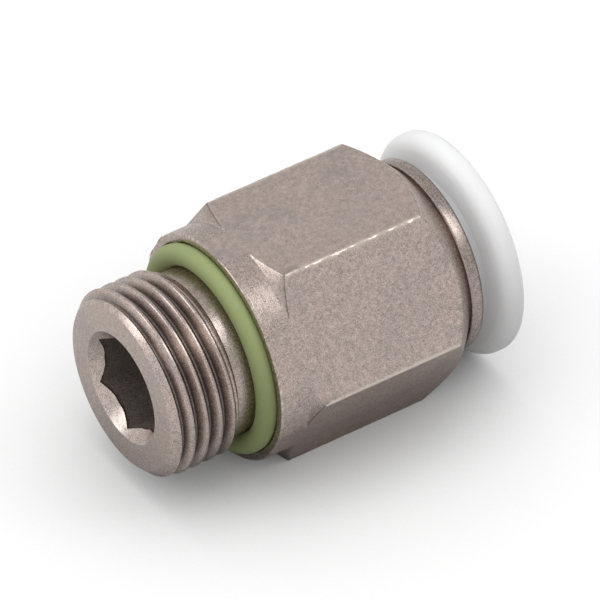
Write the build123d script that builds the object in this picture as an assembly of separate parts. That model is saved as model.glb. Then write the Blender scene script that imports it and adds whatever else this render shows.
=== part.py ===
"""Male push-in fitting for 12 mm tube with a G 3/8 parallel thread.

The fitting lies on one flat of its hexagon. Its axis runs along +X, from the
threaded end to the release ring, and +Z is the normal of the upper flat. The
origin is on the surface it lies on, under the middle of its length. Each piece
is built along the X axis from the face of the threaded end, then laid down.
"""
from build123d import *
import math
import os

# Threaded stud, G 3/8: the thread's crest diameter, left plain
thread_diameter = 16.66
thread_length = 6.2
stud_chamfer = 0.95
relief_depth = 0.93
relief_length = 2.0

# Hexagon socket for a key, in the end of the stud, and the air passage behind it
socket_across_flats = 8.0
socket_depth = 7.0
socket_mouth_margin = 0.42
passage_diameter = 8.1

# Ring seal in the recess of the collar
seal_section = 1.9
seal_seat_gap = 0.03
recess_side_gap = 0.07
recess_depth = 0.65

# Collar
collar_rim_width = 0.73
collar_length = 2.56
collar_edge_round = 0.15

# Hexagon of the body: the wall between the main bore and a flat sets its size
flat_wall = 1.85
hexagon_length = 16.91
stud_side_angle = 30.0
tube_side_angle = 45.0
body_end_wall = 0.75
edge_break = 0.15

# Tube and the bore that guides it
tube_diameter = 12.0
tube_gap = 0.05
pilot_length = 3.7
slip_gap = 0.02

# Lip seal and its chamber
lip_seal_height = 1.7
lip_seal_length = 2.8
lip_seal_web = 1.1
lip_groove_width = 0.75
lip_groove_floor_width = 0.3
lip_tip_width = 0.35
lip_tip_chamfer = 0.1
lip_web_chamfer = 0.35
seal_chamber_length = 3.2

# Spacer between lip seal and claw ring, seated on the bore's shoulder
bore_shoulder_width = 0.4
spacer_land = 0.4
spacer_bore_gap = 0.25
spacer_claw_gap = 0.15

# Claw ring, bent from thin strip
claw_count = 12
claw_thickness = 0.35
claw_angle = 42.0
claw_slot_width = 0.9
claw_rim_width = 0.75
claw_root_width = 0.1
claw_tube_gap = 0.08

# Guide sleeve, pressed into the body
guide_groove_width = 0.5
guide_flange_length = 1.3
guide_flange_width = 0.57
guide_flange_taper = 0.14
guide_edge_round = 0.22
guide_wall = 0.55
guide_undercut_length = 3.63
guide_lip_length = 3.4

# Release ring
ring_bore_gap = 0.1
ring_travel = 1.1
ring_end_gap = 0.1
ring_slide_gap = 0.05
ring_sleeve_wall = 0.95
ring_flange_margin = 0.05
ring_flange_length = 2.0
ring_underside_land = 0.1
ring_underside_rise = 0.3
ring_rim_round = 0.55
ring_mouth_height = 0.3
ring_mouth_land = 0.7
ring_mouth_chamfer = 0.7
ring_nose_width = 0.35
ring_claw_gap = 0.2
ring_lug_length = 1.2
ring_lug_gap = 0.1
ring_slot_count = 6
ring_slot_width = 0.9
ring_slot_extra = 1.2

# How far a cutting shape runs past what it cuts
overrun = 1.0

# Radii of the stud and the collar
thread_radius = thread_diameter / 2
relief_radius = thread_radius - relief_depth
seal_centre_radius = relief_radius + seal_seat_gap + seal_section / 2
recess_radius = seal_centre_radius + seal_section / 2 + recess_side_gap
collar_radius = recess_radius + collar_rim_width
socket_corner_radius = socket_across_flats / 2 / math.cos(math.radians(30))

# Radii of the tube side
tube_radius = tube_diameter / 2
tube_bore_radius = tube_radius + tube_gap
seal_chamber_radius = tube_bore_radius + lip_seal_height
main_bore_radius = seal_chamber_radius + bore_shoulder_width
body_end_radius = main_bore_radius + body_end_wall
flat_radius = main_bore_radius + flat_wall
corner_radius = flat_radius / math.cos(math.radians(30))
insert_radius = main_bore_radius - slip_gap
guide_flange_radius = insert_radius + guide_flange_width
guide_undercut_radius = insert_radius - guide_wall
ring_bore_radius = tube_radius + ring_bore_gap
ring_sleeve_radius = ring_bore_radius + ring_sleeve_wall
ring_lug_radius = guide_undercut_radius - ring_lug_gap
ring_flange_radius = flat_radius - ring_flange_margin
guide_lip_radius = ring_sleeve_radius + ring_slide_gap

# Claws: their slope, and the radii where they bend and where they end
claw_tip_radius = tube_radius + claw_tube_gap
claw_bend_radius = insert_radius - claw_rim_width
claw_slope = math.tan(math.radians(claw_angle))
claw_slant = claw_thickness / math.cos(math.radians(claw_angle))
claw_heel_radius = claw_bend_radius + (claw_slant - claw_thickness) / claw_slope
spacer_bore_radius = tube_bore_radius + spacer_bore_gap
spacer_mouth_radius = claw_heel_radius + spacer_claw_gap

# Places along the axis, from the face of the threaded end
relief_start = thread_length + relief_depth
stud_length = relief_start + relief_length
recess_floor = stud_length + recess_depth
collar_end = stud_length + collar_length
body_length = collar_end + hexagon_length
guide_flange_start = body_length + guide_groove_width
guide_end = guide_flange_start + guide_flange_length
guide_lip_start = guide_end - guide_lip_length
guide_start = guide_lip_start - guide_undercut_length
claw_seat = guide_start - claw_thickness
spacer_cone_start = claw_seat - (spacer_mouth_radius - spacer_bore_radius) * claw_slope
spacer_seat = spacer_cone_start - spacer_land
seal_floor = spacer_seat - seal_chamber_length
tube_stop = seal_floor - pilot_length
ring_underside = guide_end + ring_travel + ring_end_gap
ring_rim_start = ring_underside + ring_underside_rise
ring_face = ring_underside + ring_flange_length
overall_length = ring_face + ring_mouth_height


def turned(points, rounds=()):
    """Turn an outline of (x, radius) points about the axis, with rounded corners."""
    face = make_face(Polyline(*points, close=True))
    for x, radius, size in rounds:
        corner = face.vertices().sort_by_distance(Vector(x, radius, 0))[0]
        face = fillet(corner, size)
    return revolve(face, Axis.X)


def hexagon_bar(to_flat, start, end):
    """Hexagon bar along the axis, with flats facing up and down."""
    section = Plane.YZ * RegularPolygon(to_flat, 6, major_radius=False)
    return Pos(start, 0, 0) * extrude(section, end - start)


def slots_around(count, start, end, low, high, width):
    """Radial slots of one width, spaced evenly about the axis."""
    slot = Pos((start + end) / 2, 0, (low + high) / 2) * Box(end - start, width, high - low)
    return [Rot(360.0 / count * i, 0, 0) * slot for i in range(count)]


def laid_down(piece):
    """Move a piece from the axis of the threaded end to where it lies."""
    return Pos(-overall_length / 2, 0, flat_radius) * piece


def body_envelope():
    """Outside of the body as turned from the bar, before the flats limit it."""
    cone_radius = corner_radius + overrun
    near_run = (cone_radius - collar_radius) * math.tan(math.radians(stud_side_angle))
    far_run = (cone_radius - body_end_radius) * math.tan(math.radians(tube_side_angle))
    points = [
        (0, 0),
        (0, thread_radius - stud_chamfer),
        (stud_chamfer, thread_radius),
        (thread_length, thread_radius),
        (relief_start, relief_radius),
        (recess_floor, relief_radius),
        (recess_floor, recess_radius),
        (stud_length, recess_radius),
        (stud_length, collar_radius),
        (collar_end, collar_radius),
        (collar_end + near_run, cone_radius),
        (body_length - far_run, cone_radius),
        (body_length, body_end_radius),
        (body_length, 0),
    ]
    return turned(points, [(stud_length, collar_radius, collar_edge_round)])


def body_bore():
    """Stepped bore from the passage to the open end, with its edges broken."""
    passage_radius = passage_diameter / 2
    in_socket = socket_depth - overrun
    past_end = body_length + overrun
    return turned([
        (in_socket, 0),
        (in_socket, passage_radius),
        (tube_stop, passage_radius),
        (tube_stop, tube_bore_radius),
        (seal_floor - edge_break, tube_bore_radius),
        (seal_floor, tube_bore_radius + edge_break),
        (seal_floor, seal_chamber_radius),
        (spacer_seat, seal_chamber_radius),
        (spacer_seat, main_bore_radius),
        (body_length - edge_break, main_bore_radius),
        (body_length, main_bore_radius + edge_break),
        (past_end, main_bore_radius + edge_break),
        (past_end, 0),
    ])


def key_socket():
    """Hexagon socket with a countersunk mouth."""
    mouth_radius = socket_corner_radius + socket_mouth_margin
    socket = hexagon_bar(socket_across_flats / 2, -overrun, socket_depth)
    countersink = turned([
        (-overrun, 0),
        (-overrun, mouth_radius),
        (0, mouth_radius),
        (mouth_radius, 0),
    ])
    return socket + countersink


def make_body():
    """Stud, collar and hexagon, turned from one bar."""
    bar = hexagon_bar(flat_radius, 0, body_length)
    return (body_envelope() & bar) - body_bore() - key_socket()


def make_thread_seal():
    """Ring seal on the relief, standing proud of the collar's recess."""
    section_radius = seal_section / 2
    centre = recess_floor - section_radius
    return Pos(centre, 0, 0) * Rot(0, 90, 0) * Torus(seal_centre_radius, section_radius)


def make_tube_seal():
    """Lip seal: a web that seats on the spacer, and two lips that face the pressure."""
    outer = seal_chamber_radius - slip_gap
    inner = tube_bore_radius
    middle = (outer + inner) / 2
    start = spacer_seat - lip_seal_length
    groove_end = spacer_seat - lip_seal_web
    half_mouth = lip_groove_width / 2
    half_floor = lip_groove_floor_width / 2
    return turned([
        (spacer_seat, inner + lip_web_chamfer),
        (spacer_seat, outer),
        (start, outer),
        (start, middle + half_mouth),
        (groove_end, middle + half_floor),
        (groove_end, middle - half_floor),
        (start, middle - half_mouth),
        (start, inner + lip_tip_chamfer),
        (start + lip_tip_chamfer, inner),
        (start + lip_tip_chamfer + lip_tip_width, inner),
    ])


def make_spacer():
    """Support ring that closes the seal's chamber and clears the bent claws."""
    return turned([
        (spacer_seat, spacer_bore_radius),
        (spacer_seat, insert_radius),
        (claw_seat, insert_radius),
        (claw_seat, spacer_mouth_radius),
        (spacer_cone_start, spacer_bore_radius),
    ])


def make_claw_ring():
    """Thin ring, clamped at its rim, with a circle of claws bent towards the stop."""
    tip_face = guide_start - (claw_bend_radius - claw_tip_radius) * claw_slope
    blank = turned([
        (claw_seat, insert_radius),
        (guide_start, insert_radius),
        (guide_start, claw_bend_radius),
        (tip_face, claw_tip_radius),
        (tip_face - claw_slant, claw_tip_radius),
        (claw_seat, claw_heel_radius),
    ])
    slots = slots_around(
        claw_count,
        tip_face - claw_slant - overrun,
        guide_start + overrun,
        claw_tip_radius - overrun,
        claw_bend_radius - claw_root_width,
        claw_slot_width,
    )
    return blank - slots


def make_guide_sleeve():
    """Sleeve pressed into the body: it clamps the claws and holds the release ring."""
    end_radius = guide_flange_radius - guide_flange_taper
    points = [
        (guide_start, guide_undercut_radius),
        (guide_start, insert_radius),
        (guide_flange_start, insert_radius),
        (guide_flange_start, guide_flange_radius),
        (guide_end, end_radius),
        (guide_end, guide_lip_radius),
        (guide_lip_start, guide_lip_radius),
        (guide_lip_start, guide_undercut_radius),
    ]
    rounds = [
        (guide_flange_start, guide_flange_radius, guide_edge_round),
        (guide_end, end_radius, guide_edge_round),
        (guide_end, guide_lip_radius, guide_edge_round),
    ]
    return turned(points, rounds)


def make_release_ring():
    """Slotted sleeve with a snap lug, and the flange that a finger pushes."""
    chamfer_radius = ring_bore_radius + ring_mouth_chamfer
    lug_end = guide_lip_start - ring_slide_gap
    lug_start = lug_end - ring_lug_length
    lug_height = ring_lug_radius - ring_sleeve_radius
    nose_radius = ring_bore_radius + ring_nose_width
    claw_face = guide_start - (claw_bend_radius - nose_radius) * claw_slope
    nose = claw_face + ring_travel + ring_claw_gap
    points = [
        (nose, ring_bore_radius),
        (nose, nose_radius),
        (lug_start - lug_height, ring_sleeve_radius),
        (lug_start, ring_lug_radius),
        (lug_end, ring_lug_radius),
        (lug_end, ring_sleeve_radius),
        (ring_underside, ring_sleeve_radius),
        (ring_underside, guide_flange_radius + ring_underside_land),
        (ring_rim_start, ring_flange_radius),
        (ring_face, ring_flange_radius),
        (overall_length, chamfer_radius + ring_mouth_land),
        (overall_length, chamfer_radius),
        (overall_length - ring_mouth_chamfer, ring_bore_radius),
    ]
    rounds = [
        (ring_rim_start, ring_flange_radius, ring_rim_round),
        (ring_face, ring_flange_radius, ring_rim_round),
    ]
    slots = slots_around(
        ring_slot_count,
        nose - overrun,
        lug_end + ring_slot_extra,
        ring_bore_radius - overrun,
        ring_lug_radius + overrun,
        ring_slot_width,
    )
    return turned(points, rounds) - slots


pieces = {
    "body": make_body(),
    "thread_seal": make_thread_seal(),
    "tube_seal": make_tube_seal(),
    "spacer_ring": make_spacer(),
    "claw_ring": make_claw_ring(),
    "guide_sleeve": make_guide_sleeve(),
    "release_ring": make_release_ring(),
}

os.makedirs("parts", exist_ok=True)
for name, piece in pieces.items():
    export_step(laid_down(piece), f"parts/{name}.step")
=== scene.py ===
"""Looks of a male push-in fitting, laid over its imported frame.

Each piece is drawn in millimetres about the X axis, from the face of the threaded end,
and then set down in the frame: in metres, with the axis above the floor.
"""
import math
from types import SimpleNamespace

import bmesh
import bpy
from bpy.props import FloatProperty, FloatVectorProperty, IntProperty, PointerProperty
from bpy.types import Operator, Panel, PropertyGroup
from mathutils import Matrix, Vector
from mathutils.noise import noise as noise_at


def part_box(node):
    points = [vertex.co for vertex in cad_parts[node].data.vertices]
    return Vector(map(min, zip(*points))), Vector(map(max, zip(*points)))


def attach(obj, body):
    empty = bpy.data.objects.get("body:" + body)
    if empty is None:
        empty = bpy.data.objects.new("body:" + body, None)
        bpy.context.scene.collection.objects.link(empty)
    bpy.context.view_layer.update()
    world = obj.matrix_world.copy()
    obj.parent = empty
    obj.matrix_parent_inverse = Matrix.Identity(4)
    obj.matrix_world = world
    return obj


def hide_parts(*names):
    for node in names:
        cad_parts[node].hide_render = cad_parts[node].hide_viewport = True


bl_info = {
    "name": "Push-in Fitting",
    "version": (1, 0, 0),
    "blender": (4, 5, 0),
    "location": "3D View > Sidebar > Fitting",
    "description": "Builds the pieces, finishes and stage of a male push-in fitting",
    "category": "Add Mesh",
}

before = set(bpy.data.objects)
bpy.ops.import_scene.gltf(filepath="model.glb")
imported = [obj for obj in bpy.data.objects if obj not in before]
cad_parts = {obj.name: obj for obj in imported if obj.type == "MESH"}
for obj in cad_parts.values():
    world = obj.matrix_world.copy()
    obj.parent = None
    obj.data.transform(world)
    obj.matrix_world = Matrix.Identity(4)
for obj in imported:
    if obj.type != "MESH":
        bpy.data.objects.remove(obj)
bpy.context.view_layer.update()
BODY_LOW, BODY_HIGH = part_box("body")
AXIS_HEIGHT = (BODY_LOW.z + BODY_HIGH.z) / 2
FLAT_RADIUS = AXIS_HEIGHT * 1000
CORNER_RADIUS = FLAT_RADIUS / math.cos(math.radians(30))
EDGE_RADIUS = CORNER_RADIUS - 0.3
MILLIMETRE = 0.001
SET_DOWN = Matrix.Translation((BODY_LOW.x, 0, AXIS_HEIGHT)) @ Matrix.Scale(MILLIMETRE, 4)
WELD = 1e-5


def length(name, description, millimetres):
    """A property for a length, with its default in millimetres."""
    return FloatProperty(
        name=name, description=description, default=millimetres * MILLIMETRE,
        min=0.0, precision=5, unit="LENGTH",
    )


def factor(name, description, default, top=1.0):
    """A property for a plain number from 0 to its top."""
    return FloatProperty(
        name=name, description=description, default=default, min=0.0, max=top,
        subtype="FACTOR",
    )


def colour(name, description, default):
    """A property for a colour."""
    return FloatVectorProperty(
        name=name, description=description, default=default, size=3,
        min=0.0, max=1.0, subtype="COLOR",
    )


def in_millimetres(shape):
    """The lengths of a property group, in millimetres, by name."""
    names = shape.__annotations__
    return SimpleNamespace(**{name: getattr(shape, name) / MILLIMETRE for name in names})


class FittingBodyShape(PropertyGroup):
    """Sizes of the stud, the collar, the hexagon and the bore."""

    crest_radius: length("Crest radius", "Radius over the thread's crests", 8.33)
    root_radius: length("Root radius", "Radius at the thread's roots", 7.475)
    pitch: length("Pitch", "Distance from crest to crest", 1.337)
    tip_radius: length("Tip radius", "Rounding of the thread's crests and roots", 0.184)
    thread_length: length("Thread length", "Length of the threaded part", 5.75)
    stud_chamfer: length("Stud chamfer", "Chamfer at the end of the thread", 0.95)
    relief_radius: length("Relief radius", "Radius of the groove that holds the seal", 7.4)
    collar_front: length("Collar front", "From the stud's face to the collar", 9.13)
    recess_floor: length("Recess floor", "From the stud's face to the recess floor", 9.78)
    recess_radius: length("Recess radius", "Radius of the recess in the collar", 9.4)
    collar_radius: length("Collar radius", "Radius of the collar", 10.13)
    collar_end: length("Collar end", "From the stud's face to the near cone", 11.69)
    bar_radius: length("Bar radius", "Radius of the bar before its flats are cut", 12.5)
    body_end: length("Body end", "Length of the body", 28.6)
    end_radius: length("End radius", "Radius of the body's open end", 8.9)
    bore_radius: length("Bore radius", "Radius of the main bore", 8.15)
    lead_in: length("Lead-in", "Chamfer at the mouth of a bore", 0.15)
    chamber_end: length("Chamber end", "From the stud's face to the main bore's floor", 21.392)
    chamber_radius: length("Chamber radius", "Radius of the lip seal's chamber", 7.75)
    chamber_start: length("Chamber start", "From the stud's face to the chamber's floor", 18.192)
    tube_radius: length("Tube radius", "Radius of the bore that takes the tube's end", 6.05)
    tube_stop: length("Tube stop", "From the stud's face to where the tube stops", 14.492)
    passage_radius: length("Passage radius", "Radius of the air passage", 4.05)
    socket_radius: length("Socket radius", "From the axis to a flat of the key socket", 4.0)
    socket_depth: length("Socket depth", "Depth of the key socket", 7.0)
    mouth_radius: length("Mouth radius", "Radius of the countersink of the socket", 5.04)
    edge_round: length("Edge round", "Rounding of the hexagon's edges", 0.07)


class FittingSealShape(PropertyGroup):
    """Sizes of the ring seal on the stud."""

    section_radius: length("Section radius", "Radius of the ring's section", 0.95)
    centre_radius: length("Centre radius", "From the axis to the section's centre", 8.38)
    centre_place: length("Place", "From the stud's face to the section's centre", 8.83)


class FittingGuideShape(PropertyGroup):
    """Sizes of the guide sleeve in the open end."""

    start: length("Start", "From the stud's face to the sleeve's inner end", 23.37)
    insert_radius: length("Insert radius", "Radius of the part pressed in", 8.13)
    undercut_radius: length("Undercut radius", "Radius inside the insert", 7.58)
    lip_start: length("Lip start", "From the stud's face to the inner lip", 27.0)
    lip_radius: length("Lip radius", "Radius of the opening that guides the ring", 7.1)
    flange_start: length("Flange start", "From the stud's face to the flange", 29.1)
    flange_radius: length("Flange radius", "Radius of the flange", 8.7)
    end: length("End", "From the stud's face to the sleeve's outer end", 30.4)
    end_radius: length("End radius", "Radius of the flange at its outer end", 8.56)


class FittingReleaseShape(PropertyGroup):
    """Sizes of the release ring."""

    nose: length("Nose", "From the stud's face to the ring's inner end", 23.8336)
    bore_radius: length("Bore radius", "Radius of the hole for the tube", 6.1)
    nose_radius: length("Nose radius", "Radius at the inner end", 6.45)
    sleeve_radius: length("Sleeve radius", "Radius of the slotted sleeve", 7.05)
    lug_radius: length("Lug radius", "Radius of the snap lug", 7.48)
    lug_start: length("Lug start", "From the stud's face to the lug", 25.75)
    lug_end: length("Lug end", "From the stud's face to the lug's shoulder", 26.95)
    underside: length("Underside", "From the stud's face to the flange's underside", 31.6)
    underside_radius: length("Underside radius", "Radius of its flat part", 8.8)
    rim_start: length("Rim start", "From the stud's face to the rim", 31.9)
    rim_radius: length("Rim radius", "Radius of the flange", 9.95)
    face: length("Face", "From the stud's face to the rim's outer side", 33.6)
    end: length("End", "From the stud's face to the ring's outer end", 33.9)
    crown_radius: length("Crown radius", "Outer radius of the ring's outer end", 7.5)
    mouth_radius: length("Mouth radius", "Radius of the mouth at the outer end", 6.8)
    mouth_start: length("Mouth start", "From the stud's face to the mouth's inner end", 33.2)
    slot_width: length("Slot width", "Width of a slot in the sleeve", 0.9)
    slot_end: length("Slot end", "From the stud's face to the slots' closed ends", 28.15)


class FittingFinish(PropertyGroup):
    """Colours and roughness of the finishes."""

    nickel: colour("Nickel", "Plated body", (0.63, 0.525, 0.475))
    nickel_roughness: factor("Nickel roughness", "Roughness of the plated body", 0.38)
    stain: colour("Stain", "Blotches in the plate", (0.50, 0.43, 0.43))
    worn: colour("Worn nickel", "Edges of the hexagon, rubbed bright", (0.80, 0.70, 0.62))
    green_rubber: colour("Green rubber", "Ring seal on the stud", (0.28, 0.33, 0.14))
    black_rubber: colour("Black rubber", "Lip seal in the bore", (0.018, 0.018, 0.019))
    grey_plastic: colour("Grey plastic", "Spacer ring", (0.22, 0.22, 0.23))
    spring_steel: colour("Spring steel", "Claw ring", (0.56, 0.55, 0.53))
    white_plastic: colour("White plastic", "Release ring", (0.82, 0.82, 0.825))


class FittingStage(PropertyGroup):
    """Floor, lamps and camera."""

    floor: colour("Floor", "Colour of the floor", (0.30, 0.30, 0.30))
    floor_lift: factor("Floor lift", "Light that the camera sees the floor give", 0.72)
    mirrored_floor: factor("Mirrored floor", "Share of it that the metal mirrors", 0.55)
    surroundings: factor("Surroundings", "Level of the light all round", 0.69, top=2.0)
    top_light: factor("Top light", "Level of the lamp above", 3.2, top=20.0)
    front_light: factor("Front light", "Level of the lamp in front, on the right", 2.6, top=20.0)
    back_light: factor("Back light", "Level of the lamp behind, on the left", 2.1, top=20.0)
    lens: FloatProperty(name="Lens", description="Focal length", default=540.0, unit="CAMERA")
    steps: IntProperty(
        name="Steps", description="Steps of a full turn", default=288, min=48, max=512,
    )


def drawn(points):
    """Start a mesh from a closed outline of (x, radius) points, above the axis."""
    bm = bmesh.new()
    corners = [bm.verts.new((x, 0, radius)) for x, radius in points]
    for first, second in zip(corners, corners[1:] + corners[:1]):
        bm.edges.new((first, second))
    return bm


def round_corner(bm, x, radius, size, segments=4):
    """Round the corner of an outline that lies nearest to a point."""
    place = Vector((x, 0, radius))
    corner = min(bm.verts, key=lambda vert: (vert.co - place).length)
    bmesh.ops.bevel(
        bm, geom=[corner], offset=size, affect="VERTICES", segments=segments,
        profile=0.5, material=-1,
    )


def turn(bm, steps):
    """Spin an outline once about the axis and close it."""
    bmesh.ops.spin(
        bm, geom=bm.verts[:] + bm.edges[:], cent=(0, 0, 0), axis=(1, 0, 0),
        dvec=(0, 0, 0), angle=math.tau, steps=steps, use_merge=True, use_duplicate=False,
    )
    bmesh.ops.remove_doubles(bm, verts=bm.verts, dist=WELD)
    bmesh.ops.recalc_face_normals(bm, faces=bm.faces)
    return bm


def turned(points, rounds, steps):
    """A turned piece from its outline and the roundings of its corners."""
    bm = drawn(points)
    for corner in rounds:
        round_corner(bm, *corner)
    return turn(bm, steps)


def flats_cut(bm, radius, count=6, first=90.0):
    """Cut flats round the axis, each at the same distance, and close them."""
    for index in range(count):
        angle = math.radians(first + 360.0 / count * index)
        normal = Vector((0, math.cos(angle), math.sin(angle)))
        cut = bmesh.ops.bisect_plane(
            bm, geom=bm.verts[:] + bm.edges[:] + bm.faces[:], dist=WELD,
            plane_co=normal * radius, plane_no=normal, clear_outer=True,
        )
        rim = [item for item in cut["geom_cut"] if isinstance(item, bmesh.types.BMEdge)]
        bmesh.ops.edgeloop_fill(bm, edges=rim)
    return bm


def rub_edges(bm, start, end, step, depth):
    """Break the long edges of the hexagon a little, as handling does."""
    outer = [face for face in bm.faces if face.calc_center_median().yz.length > FLAT_RADIUS - 0.6]
    edges = {edge for face in outer for edge in face.edges}
    verts = {vert for face in outer for vert in face.verts}
    geometry = outer + list(edges) + list(verts)
    for index in range(1, round((end - start) / step)):
        cut = bmesh.ops.bisect_plane(
            bm, geom=geometry, dist=WELD, plane_co=(start + index * step, 0, 0),
            plane_no=(1, 0, 0),
        )
        geometry = cut["geom"]
    bm.normal_update()
    moves = {}
    for vert in bm.verts:
        across = Vector((0, vert.co.y, vert.co.z))
        if across.length < EDGE_RADIUS or not start < vert.co.x < end:
            continue
        uneven = noise_at(vert.co * 2.3) + 0.5 * noise_at(vert.co * 6.0)
        flats = [face for face in vert.link_faces if is_flat(face)]
        if flats:
            sideways = flats[0].normal.cross(Vector((1, 0, 0)))
            inward = -math.copysign(1.0, sideways.dot(across))
            moves[vert] = sideways * inward * depth * max(uneven, -0.3)
        else:
            moves[vert] = across.normalized() * depth * -0.2 * abs(uneven)
    for vert, move in moves.items():
        vert.co += move
    return bm


def is_flat(face):
    """Whether a face is one of the hexagon's flats."""
    turned_to = math.degrees(math.atan2(face.normal.z, face.normal.y)) - 30
    off = abs((turned_to + 30) % 60 - 30)
    return abs(face.normal.x) < 0.01 and off < 1.0


def prism(radius, count, start, end):
    """A bar with flats, for cutting: the radius is from the axis to a flat."""
    bm = bmesh.new()
    corner = radius / math.cos(math.pi / count)
    turned_to_x = Matrix.Translation((start, 0, 0)) @ Matrix.Rotation(math.pi / 2, 4, "Y")
    ring = bmesh.ops.create_circle(
        bm, cap_ends=True, radius=corner, segments=count,
        matrix=turned_to_x @ Matrix.Rotation(math.pi / 2, 4, "Z"),
    )
    sides = bmesh.ops.extrude_face_region(bm, geom=bm.faces[:])
    moved = [item for item in sides["geom"] if isinstance(item, bmesh.types.BMVert)]
    bmesh.ops.translate(bm, verts=moved, vec=(end - start, 0, 0))
    bmesh.ops.recalc_face_normals(bm, faces=bm.faces)
    return bm


def groove(shape, steps):
    """The cutter of the thread: its groove's section, wound along the axis."""
    flank = math.radians(62.5)
    half_pitch = shape.pitch / 2
    tip = shape.tip_radius
    root_centre = shape.root_radius + tip
    crest_centre = shape.crest_radius - tip
    top = shape.crest_radius + 0.6
    side = []
    for share in (0.0, 0.25, 0.5, 0.75, 1.0):
        angle = flank * share
        side.append((tip * math.sin(angle), root_centre - tip * math.cos(angle)))
    for share in (1.0, 0.66, 0.33):
        angle = flank * share
        side.append((half_pitch - tip * math.sin(angle), crest_centre + tip * math.cos(angle)))
    side.append((side[-1][0], top))
    section = [(-x, radius) for x, radius in reversed(side[1:])] + side
    turns = 6.75
    first_root = 0.7336
    first_place = first_root - 2 * shape.pitch
    bm = bmesh.new()
    corners = [bm.verts.new((first_place + x, 0, radius)) for x, radius in section]
    face = bm.faces.new(corners)
    bmesh.ops.spin(
        bm, geom=[face], cent=(0, 0, 0), axis=(1, 0, 0),
        dvec=(shape.pitch / steps, 0, 0), angle=math.tau * turns,
        steps=int(steps * turns), use_merge=False, use_duplicate=False,
    )
    bmesh.ops.recalc_face_normals(bm, faces=bm.faces)
    return bm


def loose_object(name, bm):
    """An object from a mesh, for cutting only."""
    mesh = bpy.data.meshes.new(name)
    bm.to_mesh(mesh)
    bm.free()
    thing = bpy.data.objects.new(name, mesh)
    bpy.context.scene.collection.objects.link(thing)
    return thing


def cut_away(bm, cutters):
    """Cut closed shapes out of a closed piece."""
    piece = loose_object("blank", bm)
    tools = [loose_object("cutter", cutter) for cutter in cutters]
    for tool in tools:
        step = piece.modifiers.new("cut", "BOOLEAN")
        step.operation = "DIFFERENCE"
        step.solver = "EXACT"
        step.object = tool
    depsgraph = bpy.context.evaluated_depsgraph_get()
    mesh = bpy.data.meshes.new_from_object(piece.evaluated_get(depsgraph))
    result = bmesh.new()
    result.from_mesh(mesh)
    bpy.data.meshes.remove(mesh)
    for thing in [piece] + tools:
        old = thing.data
        bpy.data.objects.remove(thing)
        bpy.data.meshes.remove(old)
    if not result.faces:
        raise RuntimeError("a cut left nothing of the piece")
    return result


def set_down(name, bm, materials, body, node, crease=35.0):
    """Make a finished piece from a mesh and give it its place in the frame."""
    rounded = [face.material_index == 0 or not is_flat(face) for face in bm.faces]
    bmesh.ops.transform(bm, matrix=SET_DOWN, verts=bm.verts)
    mesh = bpy.data.meshes.new(name)
    bm.to_mesh(mesh)
    bm.free()
    mesh.set_sharp_from_angle(angle=math.radians(crease))
    mesh.polygons.foreach_set("use_smooth", rounded)
    for material in materials:
        mesh.materials.append(material)
    piece = bpy.data.objects.new(name, mesh)
    bpy.context.scene.collection.objects.link(piece)
    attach(piece, body)
    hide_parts(node)
    return piece


def add(tree, kind, values=None, **settings):
    """Add a node, and fill its inputs from numbers or from the sockets that feed them."""
    node = tree.nodes.new(kind)
    for name, setting in settings.items():
        setattr(node, name, setting)
    for name, value in (values or {}).items():
        if isinstance(value, bpy.types.NodeSocket):
            tree.links.new(value, node.inputs[name])
        else:
            node.inputs[name].default_value = value
    return node


def sums(tree, operation, first, second=0.0, third=0.0):
    """A Math node's result."""
    return add(tree, "ShaderNodeMath", {0: first, 1: second, 2: third}, operation=operation).outputs[0]


def effect(name, inputs, outputs):
    """A new shader node group with its ends."""
    tree = bpy.data.node_groups.new(name, "ShaderNodeTree")
    for label, default in inputs.items():
        socket = tree.interface.new_socket(name=label, in_out="INPUT", socket_type="NodeSocketFloat")
        socket.default_value = default
    for label in outputs:
        tree.interface.new_socket(name=label, in_out="OUTPUT", socket_type="NodeSocketFloat")
    start = tree.nodes.new("NodeGroupInput")
    end = tree.nodes.new("NodeGroupOutput")
    return tree, start, end


def axis_point(tree):
    """Object coordinates in millimetres, measured from the fitting's axis."""
    place = add(tree, "ShaderNodeTexCoord").outputs["Object"]
    start = (-BODY_LOW.x * 1000, 0, -AXIS_HEIGHT * 1000)
    return add(
        tree, "ShaderNodeMapping",
        {"Vector": place, "Location": start, "Scale": (1000, 1000, 1000)},
    ).outputs["Vector"]


def radius_and_place(tree, point):
    """Radius from the axis, place along it and separate parts, of a point in millimetres."""
    parts = add(tree, "ShaderNodeSeparateXYZ", {"Vector": point})
    across = sums(tree, "MULTIPLY", parts.outputs["Y"], parts.outputs["Y"])
    squared = sums(tree, "MULTIPLY_ADD", parts.outputs["Z"], parts.outputs["Z"], across)
    return sums(tree, "SQRT", squared), parts.outputs["X"], parts


def angle_round(tree, parts):
    """Angle about the axis, of a point's separate parts."""
    return sums(tree, "ARCTAN2", parts.outputs["Z"], parts.outputs["Y"])


def noise(tree, point, scale, detail=2.0, roughness=0.5, distortion=0.0):
    """Plain noise over a point, from 0 to 1."""
    return add(
        tree, "ShaderNodeTexNoise",
        {
            "Vector": point, "Scale": scale, "Detail": detail, "Roughness": roughness,
            "Distortion": distortion,
        },
    ).outputs["Fac"]


def ranged(tree, value, low, high, new_low, new_high):
    """A value carried from one range to another, and held inside it."""
    return add(
        tree, "ShaderNodeMapRange",
        {"Value": value, "From Min": low, "From Max": high, "To Min": new_low, "To Max": new_high},
    ).outputs["Result"]


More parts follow.
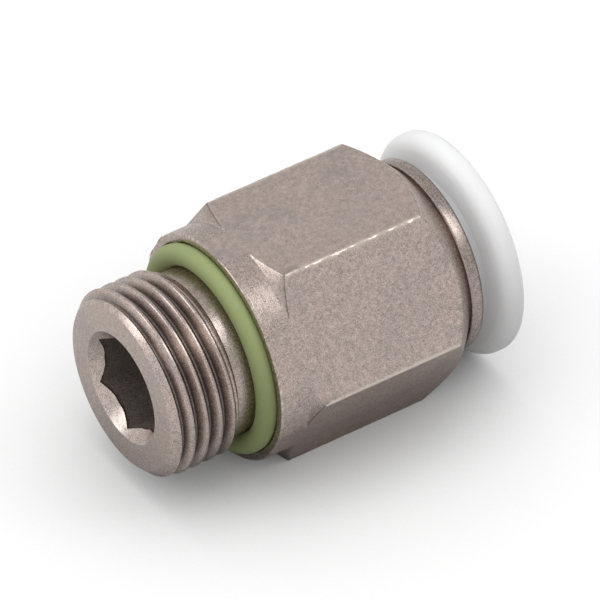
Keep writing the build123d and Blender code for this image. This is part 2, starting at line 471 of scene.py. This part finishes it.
def grain_effect():
    """Speckle of a plated surface: a shade about 1, and a height."""
    tree, start, end = effect("plated_grain", {"Scale": 6.0, "Depth": 0.1}, ("Shade", "Height"))
    point = axis_point(tree)
    fine = noise(tree, point, start.outputs["Scale"], 3.0, 0.65)
    coarse = noise(tree, point, sums(tree, "MULTIPLY", start.outputs["Scale"], 0.22), 2.0, 0.5)
    mixed = sums(tree, "MULTIPLY_ADD", coarse, 0.25, fine)
    centred = sums(tree, "SUBTRACT", mixed, 0.625)
    shade = sums(tree, "MULTIPLY_ADD", centred, start.outputs["Depth"], 1.0)
    tree.links.new(shade, end.inputs["Shade"])
    tree.links.new(fine, end.inputs["Height"])
    return tree


def turning_effect():
    """Marks that a tool leaves round the axis: a height, by radius and place."""
    tree, start, end = effect("turning_marks", {"Marks": 9.0}, ("Height",))
    point = axis_point(tree)
    radius, along, parts = radius_and_place(tree, point)
    around = add(tree, "ShaderNodeCombineXYZ", {
        "X": sums(tree, "MULTIPLY", along, start.outputs["Marks"]),
        "Y": sums(tree, "MULTIPLY", radius, start.outputs["Marks"]),
        "Z": sums(tree, "MULTIPLY", angle_round(tree, parts), 0.8),
    }).outputs["Vector"]
    lines = noise(tree, around, 1.0, 3.0, 0.6)
    tree.links.new(lines, end.inputs["Height"])
    return tree


def brushed_effect():
    """Fine lines along the axis, on the collar and in the relief behind the thread."""
    tree, start, end = effect("brushed_lines", {"Lines": 55.0}, ("Height",))
    radius, along, parts = radius_and_place(tree, axis_point(tree))
    strokes = add(tree, "ShaderNodeCombineXYZ", {
        "X": sums(tree, "MULTIPLY", along, 0.5),
        "Y": sums(tree, "MULTIPLY", angle_round(tree, parts), start.outputs["Lines"]),
    }).outputs["Vector"]
    lines = noise(tree, strokes, 1.0, 2.0, 0.6)
    behind = ranged(tree, along, 6.0, 6.6, 0.0, 1.0)
    inside = ranged(tree, radius, 4.7, 4.9, 1.0, 0.0)
    height = sums(tree, "MULTIPLY", lines, sums(tree, "MAXIMUM", behind, inside))
    tree.links.new(height, end.inputs["Height"])
    return tree


def marks_and_seam_shade_effect():
    """Small damage and painted shade: dark marks and pits, painted shade along the near cone's seam
    with the flats, and bright nicks on the collar's rim.
    """
    tree, start, end = effect("small_marks_and_seam_shade", {"Depth": 0.14}, ("Shade", "Nicks"))
    point = axis_point(tree)
    radius, along, parts = radius_and_place(tree, point)
    bent = sums(tree, "ABSOLUTE", sums(tree, "SUBTRACT", noise(tree, point, 1.3, 2.0, 0.6, 1.2), 0.5))
    patch = ranged(tree, noise(tree, point, 0.8, 2.0), 0.5, 0.6, 0.0, 1.0)
    worms = sums(tree, "MULTIPLY", ranged(tree, bent, 0.0, 0.02, 1.0, 0.0), patch)
    cells = add(tree, "ShaderNodeTexVoronoi", {"Vector": point, "Scale": 0.6}).outputs["Distance"]
    pits = ranged(tree, cells, 0.025, 0.055, 1.0, 0.0)
    darker = sums(tree, "MULTIPLY", worms, start.outputs["Depth"])
    darker = sums(tree, "MULTIPLY_ADD", pits, 0.6, darker)
    corner_angle = math.pi / 3
    from_top = sums(tree, "SUBTRACT", angle_round(tree, parts), math.pi / 2)
    folded = sums(tree, "FLOORED_MODULO", from_top, corner_angle)
    cosine = sums(tree, "COSINE", sums(tree, "SUBTRACT", corner_angle, folded))
    from_flat = sums(tree, "MULTIPLY", radius, cosine)
    # Painted shade: a dark line where the near cone meets a flat, and the cone darkening towards that
    # line.
    painted_seam_shade = sums(
        tree, "ADD", ranged(tree, from_flat, FLAT_RADIUS - 0.13, FLAT_RADIUS - 0.05, 0.0, 0.4),
        ranged(tree, from_flat, FLAT_RADIUS - 0.8, FLAT_RADIUS - 0.1, 0.0, 0.3),
    )
    past_collar = ranged(tree, along, 11.7, 11.8, 0.0, 1.0)
    before_flats = ranged(tree, along, 14.0, 14.1, 1.0, 0.0)
    painted_seam_shade = sums(tree, "MULTIPLY", painted_seam_shade, sums(tree, "MULTIPLY", past_collar, before_flats))
    off_flat = ranged(tree, from_flat, FLAT_RADIUS - 0.04, FLAT_RADIUS - 0.02, 1.0, 0.0)
    darker = sums(tree, "MULTIPLY_ADD", painted_seam_shade, off_flat, darker)
    tree.links.new(sums(tree, "SUBTRACT", 1.0, darker), end.inputs["Shade"])
    outermost = ranged(tree, radius, 9.96, 10.06, 0.0, 1.0)
    foremost = ranged(tree, along, 9.42, 9.25, 0.0, 1.0)
    rim = sums(tree, "MULTIPLY", outermost, foremost)
    broken = ranged(tree, noise(tree, point, 2.6, 3.0, 0.7), 0.52, 0.6, 0.0, 1.0)
    tree.links.new(sums(tree, "MULTIPLY", rim, broken), end.inputs["Nicks"])
    return tree


def worn_effect():
    """Rubbed edges: a broken band where the surface comes near to a radius."""
    tree, start, end = effect("worn_edge", {"Radius": 11.4, "Band": 0.1, "Break": 0.12}, ("Mask",))
    point = axis_point(tree)
    radius = radius_and_place(tree, point)[0]
    broken = sums(tree, "SUBTRACT", noise(tree, point, 2.6, 3.0, 0.7), 0.5)
    shifted = sums(tree, "MULTIPLY_ADD", broken, start.outputs["Break"], radius)
    past = sums(tree, "SUBTRACT", shifted, start.outputs["Radius"])
    share = sums(tree, "DIVIDE", past, start.outputs["Band"])
    held = add(tree, "ShaderNodeClamp", {"Value": share}).outputs[0]
    tree.links.new(held, end.inputs["Mask"])
    return tree


def surface(name, base, roughness, metallic=0.0, **sockets):
    """A material with its shader, and the numbers that are the same all over."""
    material = bpy.data.materials.new(name)
    material.use_nodes = True
    tree = material.node_tree
    shader = tree.nodes["Principled BSDF"]
    shader.inputs["Base Color"].default_value = (*base, 1.0)
    shader.inputs["Roughness"].default_value = roughness
    shader.inputs["Metallic"].default_value = metallic
    material.diffuse_color = (*base, 1.0)
    material.metallic = metallic
    material.roughness = roughness
    for socket, value in sockets.items():
        shader.inputs[socket.replace("_", " ")].default_value = value
    return material, tree, shader


def mixed_colour(tree, mask, first, second, blend="MIX"):
    """Two colours mixed by a mask."""
    node = add(tree, "ShaderNodeMix", data_type="RGBA", blend_type=blend)
    for index, value in ((0, mask), (6, first), (7, second)):
        if isinstance(value, bpy.types.NodeSocket):
            tree.links.new(value, node.inputs[index])
        else:
            node.inputs[index].default_value = value
    return node.outputs[2]


def bumped(tree, height, strength, distance):
    """A normal bent by a height."""
    return add(
        tree, "ShaderNodeBump", {"Height": height, "Strength": strength, "Distance": distance},
    ).outputs["Normal"]


def group_node(tree, group, **values):
    """A node group placed in a material with its own values."""
    node = tree.nodes.new("ShaderNodeGroup")
    node.node_tree = group
    for name, value in values.items():
        node.inputs[name].default_value = value
    return node


def grey(tree, value):
    """A grey colour from a value."""
    return add(tree, "ShaderNodeCombineColor", {"Red": value, "Green": value, "Blue": value}).outputs[0]


def hollow_painted_shade_effect():
    """Painted shade of the thread's grooves and of the bore: 1 outside, less deep inside."""
    tree, start, end = effect("hollow_painted_shade", {"Groove": 0.45, "Bore": 0.3}, ("Shade", "Inside"))
    radius, along = radius_and_place(tree, axis_point(tree))[:2]
    chamfer_foot = 7.38
    crest_radius = 8.33
    envelope = sums(tree, "MINIMUM", sums(tree, "ADD", along, chamfer_foot), crest_radius)
    depth = sums(tree, "SUBTRACT", envelope, radius)
    # Painted shade: the grooves darken with their depth below the crests' envelope.
    painted_groove_shade = ranged(tree, depth, 0.2, 0.8, 1.0, start.outputs["Groove"])
    outside = ranged(tree, radius, 7.3, 7.42, 0.0, 1.0)
    threaded = sums(tree, "MULTIPLY", outside, ranged(tree, along, 5.8, 6.3, 1.0, 0.0))
    grooves = add(
        tree, "ShaderNodeMix", {"Factor": threaded, "A": 1.0, "B": painted_groove_shade},
    ).outputs[0]
    # Painted shade: the bore, past its mouth, takes the darker Bore value.
    narrow = ranged(tree, radius, 4.7, 5.2, 1.0, 0.0)
    past_mouth = ranged(tree, sums(tree, "ADD", along, radius), 5.15, 5.6, 0.0, 1.0)
    inside = sums(tree, "MULTIPLY", narrow, past_mouth)
    shade = add(
        tree, "ShaderNodeMix", {"Factor": inside, "A": grooves, "B": start.outputs["Bore"]},
    ).outputs[0]
    tree.links.new(shade, end.inputs["Shade"])
    tree.links.new(inside, end.inputs["Inside"])
    return tree


def effects():
    """The shared effects, made once."""
    makers = {
        "plated_grain": grain_effect,
        "turning_marks": turning_effect,
        "brushed_lines": brushed_effect,
        "small_marks_and_seam_shade": marks_and_seam_shade_effect,
        "worn_edge": worn_effect,
        "hollow_painted_shade": hollow_painted_shade_effect,
    }
    return {name: bpy.data.node_groups.get(name) or make() for name, make in makers.items()}


def plated(name, finish, marks=0.0, worn=False, hollow=False, painted_rim_shade_at=0.0, roughness=None, painted_shade_tone=1.0):
    """Nickel plate: grain, blotches, tool marks and rubbed edges, with painted shade: darker hollows
    (less metallic inside the bore), a dark rim line, a darker tone and a dark seam on the near cone.
    """
    shared = effects()
    rough = finish.nickel_roughness if roughness is None else roughness
    # Painted shade: a tone below 1 makes a darker copy of the nickel and its stain.
    plate = tuple(painted_shade_tone * part for part in finish.nickel)
    stain = tuple(painted_shade_tone * part for part in finish.stain)
    material, tree, shader = surface(name, plate, rough, 1.0)
    grain = group_node(tree, shared["plated_grain"], Scale=12.0, Depth=2.7)
    # Small marks, with the painted shade along the near cone's seam.
    small = group_node(tree, shared["small_marks_and_seam_shade"], Depth=0.14)
    point = axis_point(tree)
    blotch = ranged(tree, noise(tree, point, 0.28, 3.0, 0.55), 0.48, 0.7, 0.0, 0.5)
    shade = sums(tree, "MULTIPLY", grain.outputs["Shade"], small.outputs["Shade"])
    if hollow:
        # Painted shade of the grooves and the bore; the bore's inside is also made less metallic.
        deep = group_node(tree, shared["hollow_painted_shade"], Groove=0.33, Bore=0.5)
        shade = sums(tree, "MULTIPLY", shade, deep.outputs["Shade"])
        dulled = sums(tree, "MULTIPLY_ADD", deep.outputs["Inside"], -0.45, 1.0)
        tree.links.new(dulled, shader.inputs["Metallic"])
    if painted_rim_shade_at:
        # Painted shade: a dark line on the sleeve's flange, just inside its outer end.
        along = radius_and_place(tree, point)[1]
        line = ranged(tree, along, painted_rim_shade_at - 0.2, painted_rim_shade_at, 1.0, 0.45)
        shade = sums(tree, "MULTIPLY", shade, line)
    base = mixed_colour(tree, blotch, (*plate, 1.0), (*stain, 1.0))
    base = mixed_colour(tree, 1.0, base, grey(tree, shade), "MULTIPLY")
    height = grain.outputs["Height"]
    if worn:
        edge = group_node(tree, shared["worn_edge"], Radius=11.40, Band=0.08, Break=0.30)
        base = mixed_colour(tree, edge.outputs["Mask"], base, (*finish.worn, 1.0))
    if hollow:
        base = mixed_colour(tree, small.outputs["Nicks"], base, (*finish.worn, 1.0))
        strokes = group_node(tree, shared["brushed_lines"], Lines=80.0)
        height = sums(tree, "MULTIPLY_ADD", height, 0.5, strokes.outputs["Height"])
    if marks:
        lines = group_node(tree, shared["turning_marks"], Marks=marks)
        height = sums(tree, "MULTIPLY_ADD", lines.outputs["Height"], 1.2, height)
    tree.links.new(base, shader.inputs["Base Color"])
    uneven = ranged(tree, grain.outputs["Height"], 0.3, 0.7, rough - 0.07, rough + 0.07)
    tree.links.new(uneven, shader.inputs["Roughness"])
    tree.links.new(bumped(tree, height, 0.35, 0.00002), shader.inputs["Normal"])
    return material


def soft(name, base, roughness, scale, depth, bump, **sockets):
    """Rubber or plastic: a slightly uneven colour and a fine skin."""
    shared = effects()
    material, tree, shader = surface(name, tuple(base), roughness, 0.0, **sockets)
    grain = group_node(tree, shared["plated_grain"], Scale=scale, Depth=depth)
    tinted = mixed_colour(tree, 1.0, (*base, 1.0), grey(tree, grain.outputs["Shade"]), "MULTIPLY")
    tree.links.new(tinted, shader.inputs["Base Color"])
    uneven = ranged(tree, grain.outputs["Height"], 0.3, 0.7, roughness - 0.05, roughness + 0.05)
    tree.links.new(uneven, shader.inputs["Roughness"])
    tree.links.new(bumped(tree, grain.outputs["Height"], bump, 0.00002), shader.inputs["Normal"])
    return material


class FITTING_OT_body(Operator):
    """Build the plated body: stud with its thread, collar, hexagon and bore"""

    bl_idname = "fitting.body"
    bl_label = "Body"

    def execute(self, context):
        scene = context.scene
        shape = in_millimetres(scene.fitting_body)
        steps = scene.fitting_stage.steps
        near_run = (shape.bar_radius - shape.collar_radius) * math.tan(math.radians(30))
        far_run = shape.bar_radius - shape.end_radius
        thread_fall = shape.crest_radius - shape.relief_radius
        points = [
            (0, shape.mouth_radius),
            (0, shape.crest_radius - shape.stud_chamfer),
            (shape.stud_chamfer, shape.crest_radius),
            (shape.thread_length, shape.crest_radius),
            (shape.thread_length + thread_fall, shape.relief_radius),
            (shape.recess_floor, shape.relief_radius),
            (shape.recess_floor, shape.recess_radius),
            (shape.collar_front, shape.recess_radius),
            (shape.collar_front, shape.collar_radius),
            (shape.collar_end, shape.collar_radius),
            (shape.collar_end + near_run, shape.bar_radius),
            (shape.body_end - far_run, shape.bar_radius),
            (shape.body_end, shape.end_radius),
            (shape.body_end, shape.bore_radius + shape.lead_in),
            (shape.body_end - shape.lead_in, shape.bore_radius),
            (shape.chamber_end, shape.bore_radius),
            (shape.chamber_end, shape.chamber_radius),
            (shape.chamber_start, shape.chamber_radius),
            (shape.chamber_start, shape.tube_radius + shape.lead_in),
            (shape.chamber_start - shape.lead_in, shape.tube_radius),
            (shape.tube_stop, shape.tube_radius),
            (shape.tube_stop, shape.passage_radius),
            (shape.mouth_radius - shape.passage_radius, shape.passage_radius),
        ]
        rounds = [
            (0, shape.crest_radius - shape.stud_chamfer, 0.07, 2),
            (shape.collar_front, shape.collar_radius, 0.15, 4),
            (shape.collar_front, shape.recess_radius, 0.06, 2),
            (shape.collar_end, shape.collar_radius, 0.1, 3),
            (shape.recess_floor, shape.relief_radius, 0.12, 3),
            (shape.body_end, shape.end_radius, 0.12, 3),
        ]
        bm = turned(points, rounds, steps)
        flats_cut(bm, FLAT_RADIUS)
        rims = set()
        for face in bm.faces:
            middle = face.calc_center_median()
            if len(face.verts) > 4 and Vector((0, middle.y, middle.z)).length > FLAT_RADIUS - 0.5:
                rims.update(face.edges)
        bmesh.ops.bevel(
            bm, geom=list(rims), offset=shape.edge_round, affect="EDGES", segments=2,
            profile=0.5, material=-1,
        )
        edge_start = shape.collar_end + 0.95
        edge_end = shape.body_end - 2.8
        rub_edges(bm, edge_start, edge_end, step=0.25, depth=0.18)
        socket = prism(shape.socket_radius, count=6, start=-1.0, end=shape.socket_depth)
        bm = cut_away(bm, [groove(shape, steps // 2), socket])
        bm.normal_update()
        for face in bm.faces:
            middle = face.calc_center_median()
            edge = middle.yz.length > EDGE_RADIUS and abs(face.normal.x) < 0.15
            flat = is_flat(face) and abs(middle.dot(face.normal) - FLAT_RADIUS) < 0.03
            face.material_index = 1 if edge or flat else 0
        finish = scene.fitting_finish
        turned_plate = plated(
            # painted shade: the turned nickel is a darker copy of the same plate
            "nickel_turned", finish, marks=7.0, hollow=True, roughness=0.29, painted_shade_tone=0.9,
        )
        flat_plate = plated("nickel_flats", finish, worn=True)
        set_down(
            "fitting_body", bm, [turned_plate, flat_plate], "fitting", "body",
        )
        return {"FINISHED"}


class FITTING_OT_thread_seal(Operator):
    """Build the green ring seal on the stud"""

    bl_idname = "fitting.thread_seal"
    bl_label = "Ring seal"

    def execute(self, context):
        scene = context.scene
        shape = in_millimetres(scene.fitting_seal)
        bm = bmesh.new()
        upright = Matrix.Translation((shape.centre_place, 0, shape.centre_radius))
        bmesh.ops.create_circle(
            bm, segments=40, radius=shape.section_radius,
            matrix=upright @ Matrix.Rotation(math.pi / 2, 4, "X"),
        )
        turn(bm, scene.fitting_stage.steps)
        rubber = soft(
            "green_rubber", scene.fitting_finish.green_rubber,
            roughness=0.62, scale=9.0, depth=0.25, bump=0.3,
        )
        set_down("fitting_thread_seal", bm, [rubber], "fitting", "thread_seal")
        return {"FINISHED"}


class FITTING_OT_guide_sleeve(Operator):
    """Build the plated guide sleeve in the open end"""

    bl_idname = "fitting.guide_sleeve"
    bl_label = "Guide sleeve"

    def execute(self, context):
        scene = context.scene
        shape = in_millimetres(scene.fitting_guide)
        points = [
            (shape.start, shape.undercut_radius),
            (shape.start, shape.insert_radius),
            (shape.flange_start, shape.insert_radius),
            (shape.flange_start, shape.flange_radius),
            (shape.end, shape.end_radius),
            (shape.end, shape.lip_radius),
            (shape.lip_start, shape.lip_radius),
            (shape.lip_start, shape.undercut_radius),
        ]
        rounds = [
            (shape.flange_start, shape.flange_radius, 0.22, 4),
            (shape.end, shape.end_radius, 0.22, 4),
            (shape.end, shape.lip_radius, 0.22, 4),
            (shape.start, shape.insert_radius, 0.08, 2),
        ]
        bm = turned(points, rounds, scene.fitting_stage.steps)
        plate = plated(
            # painted shade: a dark line painted near the flange's outer end
            "nickel_sleeve", scene.fitting_finish, marks=10.0, painted_rim_shade_at=shape.end - 0.1,
            # painted shade: the sleeve is a darker copy of the same plate
            roughness=0.30, painted_shade_tone=0.72,
        )
        set_down(
            "fitting_guide_sleeve", bm, [plate], "fitting", "guide_sleeve",
        )
        return {"FINISHED"}


class FITTING_OT_release_ring(Operator):
    """Build the white release ring with its slotted sleeve"""

    bl_idname = "fitting.release_ring"
    bl_label = "Release ring"

    def execute(self, context):
        scene = context.scene
        shape = in_millimetres(scene.fitting_release)
        lead = shape.lug_radius - shape.sleeve_radius
        points = [
            (shape.nose, shape.bore_radius),
            (shape.nose, shape.nose_radius),
            (shape.lug_start - lead, shape.sleeve_radius),
            (shape.lug_start, shape.lug_radius),
            (shape.lug_end, shape.lug_radius),
            (shape.lug_end, shape.sleeve_radius),
            (shape.underside, shape.sleeve_radius),
            (shape.underside, shape.underside_radius),
            (shape.rim_start, shape.rim_radius),
            (shape.face, shape.rim_radius),
            (shape.end, shape.crown_radius),
            (shape.end, shape.mouth_radius),
            (shape.mouth_start, shape.bore_radius),
        ]
        rounds = [
            (shape.rim_start, shape.rim_radius, 0.8, 8),
            (shape.face, shape.rim_radius, 0.4, 6),
            (shape.end, shape.crown_radius, 0.25, 4),
            (shape.end, shape.mouth_radius, 0.12, 3),
            (shape.mouth_start, shape.bore_radius, 0.3, 4),
            (shape.underside, shape.underside_radius, 0.1, 2),
            (shape.nose, shape.nose_radius, 0.06, 2),
        ]
        bm = turned(points, rounds, scene.fitting_stage.steps)
        slots = []
        for index in range(6):
            slot = bmesh.new()
            start = shape.nose - 1.0
            middle = Matrix.Translation(((start + shape.slot_end) / 2, 0, shape.sleeve_radius))
            size = Matrix.Diagonal((shape.slot_end - start, shape.slot_width, 3.0, 1.0))
            round_axis = Matrix.Rotation(math.tau / 6 * index, 4, "X")
            bmesh.ops.create_cube(slot, size=1.0, matrix=round_axis @ middle @ size)
            slots.append(slot)
        bm = cut_away(bm, slots)
        plastic = soft(
            "white_plastic", scene.fitting_finish.white_plastic,
            roughness=0.42, scale=3.0, depth=0.04, bump=0.12,
            Subsurface_Weight=1.0, Subsurface_Scale=0.005, Subsurface_Radius=(1.0, 0.97, 0.95),
        )
        set_down("fitting_release_ring", bm, [plastic], "release", "release_ring")
        return {"FINISHED"}


class FITTING_OT_inner_pieces(Operator):
    """Finish the lip seal, the spacer and the claw ring, which keep their shapes"""

    bl_idname = "fitting.inner_pieces"
    bl_label = "Inner pieces"

    def execute(self, context):
        finish = context.scene.fitting_finish
        steel, tree, shader = surface(
            "spring_steel", tuple(finish.spring_steel), roughness=0.28, metallic=1.0,
        )
        grain = group_node(tree, effects()["plated_grain"], Scale=8.0, Depth=0.25)
        tinted = mixed_colour(
            tree, 1.0, (*finish.spring_steel, 1.0), grey(tree, grain.outputs["Shade"]), "MULTIPLY",
        )
        tree.links.new(tinted, shader.inputs["Base Color"])
        tree.links.new(
            ranged(tree, grain.outputs["Height"], 0.3, 0.7, 0.22, 0.36), shader.inputs["Roughness"],
        )
        finishes = {
            "tube_seal": soft(
                "black_rubber", finish.black_rubber, roughness=0.5, scale=8.0, depth=0.3, bump=0.3,
            ),
            "spacer_ring": soft(
                "grey_plastic", finish.grey_plastic, roughness=0.45, scale=4.0, depth=0.1, bump=0.15,
            ),
            "claw_ring": steel,
        }
        for name, material in finishes.items():
            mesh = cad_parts[name].data
            mesh.materials.clear()
            mesh.materials.append(material)
        return {"FINISHED"}


def soft_lamp(name, azimuth, elevation, half_width, half_height, level, mirrored=True):
    """An oval lamp that faces the fitting: its size as angles, its level as brightness."""
    distance = 0.6
    wide = distance * math.tan(math.radians(half_width))
    high = distance * math.tan(math.radians(half_height))
    lamp = bpy.data.lights.new(name, "AREA")
    lamp.shape = "ELLIPSE"
    lamp.size = 2 * wide
    lamp.size_y = 2 * high
    lamp.energy = level * math.pi * math.pi * wide * high
    swung = Matrix.Rotation(math.radians(azimuth), 3, "Z")
    raised = Matrix.Rotation(math.radians(-elevation), 3, "Y")
    toward = swung @ raised @ Vector((1, 0, 0))
    lamp_object = bpy.data.objects.new(name, lamp)
    lamp_object.location = toward * distance
    lamp_object.rotation_euler = toward.to_track_quat("Z", "Y").to_euler()
    lamp_object.visible_glossy = mirrored
    bpy.context.scene.collection.objects.link(lamp_object)


class FITTING_OT_stage(Operator):
    """Set up the floor, the surroundings, the lamps and the camera"""

    bl_idname = "fitting.stage"
    bl_label = "Stage"

    def execute(self, context):
        scene = context.scene
        setup = scene.fitting_stage
        bm = bmesh.new()
        bmesh.ops.create_grid(bm, x_segments=1, y_segments=1, size=3.0)
        mesh = bpy.data.meshes.new("floor")
        bm.to_mesh(mesh)
        bm.free()
        floor = bpy.data.objects.new("floor", mesh)
        scene.collection.objects.link(floor)
        material, tree, shader = surface("floor_paper", tuple(setup.floor), 0.9)
        paths = add(tree, "ShaderNodeLightPath").outputs
        # Painted shadow: the floor's lift fades with ambient occlusion near the fitting, for the
        # camera, and cubed in what the metal mirrors.
        painted_shadow_ao = add(
            tree, "ShaderNodeAmbientOcclusion", {"Distance": 0.04}, samples=8,
        ).outputs["AO"]
        mirrored = sums(tree, "MULTIPLY", sums(tree, "POWER", painted_shadow_ao, 3.0), setup.mirrored_floor)
        mirrored = sums(tree, "MULTIPLY", mirrored, paths["Is Glossy Ray"])
        plain = sums(tree, "MAXIMUM", paths["Is Camera Ray"], paths["Is Transmission Ray"])
        seen = sums(tree, "MULTIPLY_ADD", plain, painted_shadow_ao, mirrored)
        lift = sums(tree, "MULTIPLY", seen, setup.floor_lift)
        shader.inputs["Emission Color"].default_value = (1, 1, 1, 1)
        shader.inputs["Specular IOR Level"].default_value = 0.0
        tree.links.new(lift, shader.inputs["Emission Strength"])
        mesh.materials.append(material)

        world = bpy.data.worlds.new("surroundings")
        scene.world = world
        world.use_nodes = True
        tree = world.node_tree
        background = tree.nodes["Background"]
        paths = add(tree, "ShaderNodeLightPath").outputs
        direction = add(tree, "ShaderNodeTexCoord").outputs["Generated"]
        brighter_side = add(
            tree, "ShaderNodeVectorMath", {0: direction, 1: (-0.30, 0.0, 0.0)},
            operation="DOT_PRODUCT",
        ).outputs["Value"]
        around = sums(tree, "MULTIPLY_ADD", brighter_side, setup.surroundings, setup.surroundings)
        level = add(
            tree, "ShaderNodeMix", {"Factor": paths["Is Camera Ray"], "A": around, "B": 1.0},
        ).outputs[0]
        background.inputs["Color"].default_value = (1, 1, 1, 1)
        tree.links.new(level, background.inputs["Strength"])

        soft_lamp(
            "top_lamp", azimuth=0.0, elevation=89.0, half_width=20.0, half_height=20.0,
            level=setup.top_light, mirrored=False,
        )
        soft_lamp(
            "front_lamp", azimuth=-39.0, elevation=51.0, half_width=11.0, half_height=16.0,
            level=setup.front_light,
        )
        soft_lamp(
            "back_lamp", azimuth=154.0, elevation=32.0, half_width=12.0, half_height=12.0,
            level=setup.back_light,
        )

        camera = bpy.data.cameras.new("photo_camera")
        camera.lens = setup.lens
        camera.sensor_width = 36.0
        photo_camera = bpy.data.objects.new("photo_camera", camera)
        right = Vector((0.82974647, -0.55792039, -0.01567282))
        up = Vector((0.36821291, 0.52607633, 0.76659177))
        back = Vector((-0.41945208, -0.64184775, 0.64194347))
        eye = Vector((-0.31228, -0.47904, 0.49007))
        turned_to = Matrix((right, up, back)).transposed().to_4x4()
        photo_camera.matrix_world = Matrix.Translation(eye) @ turned_to
        scene.collection.objects.link(photo_camera)
        scene.camera = photo_camera
        scene.view_settings.view_transform = "Standard"
        return {"FINISHED"}


class FITTING_PT_panel(Panel):
    """Lists the fitting's pieces and its stage"""

    bl_idname = "FITTING_PT_panel"
    bl_label = "Push-in Fitting"
    bl_space_type = "VIEW_3D"
    bl_region_type = "UI"
    bl_category = "Fitting"

    def draw(self, context):
        for operator in OPERATORS:
            self.layout.operator(operator.bl_idname)


OPERATORS = (
    FITTING_OT_body,
    FITTING_OT_thread_seal,
    FITTING_OT_guide_sleeve,
    FITTING_OT_release_ring,
    FITTING_OT_inner_pieces,
    FITTING_OT_stage,
)
GROUPS = {
    "fitting_body": FittingBodyShape,
    "fitting_seal": FittingSealShape,
    "fitting_guide": FittingGuideShape,
    "fitting_release": FittingReleaseShape,
    "fitting_finish": FittingFinish,
    "fitting_stage": FittingStage,
}
CLASSES = (*GROUPS.values(), *OPERATORS, FITTING_PT_panel)


def register():
    """Register the classes and hang the property groups on the scene."""
    for cls in CLASSES:
        bpy.utils.register_class(cls)
    for name, group in GROUPS.items():
        setattr(bpy.types.Scene, name, PointerProperty(type=group))


def unregister():
    """Take the property groups and the classes away again."""
    for name in GROUPS:
        delattr(bpy.types.Scene, name)
    for cls in reversed(CLASSES):
        bpy.utils.unregister_class(cls)


def main():
    """Build every piece and the stage."""
    register()
    bpy.ops.fitting.body()
    bpy.ops.fitting.thread_seal()
    bpy.ops.fitting.guide_sleeve()
    bpy.ops.fitting.release_ring()
    bpy.ops.fitting.inner_pieces()
    bpy.ops.fitting.stage()


if __name__ == "__main__":
    main()
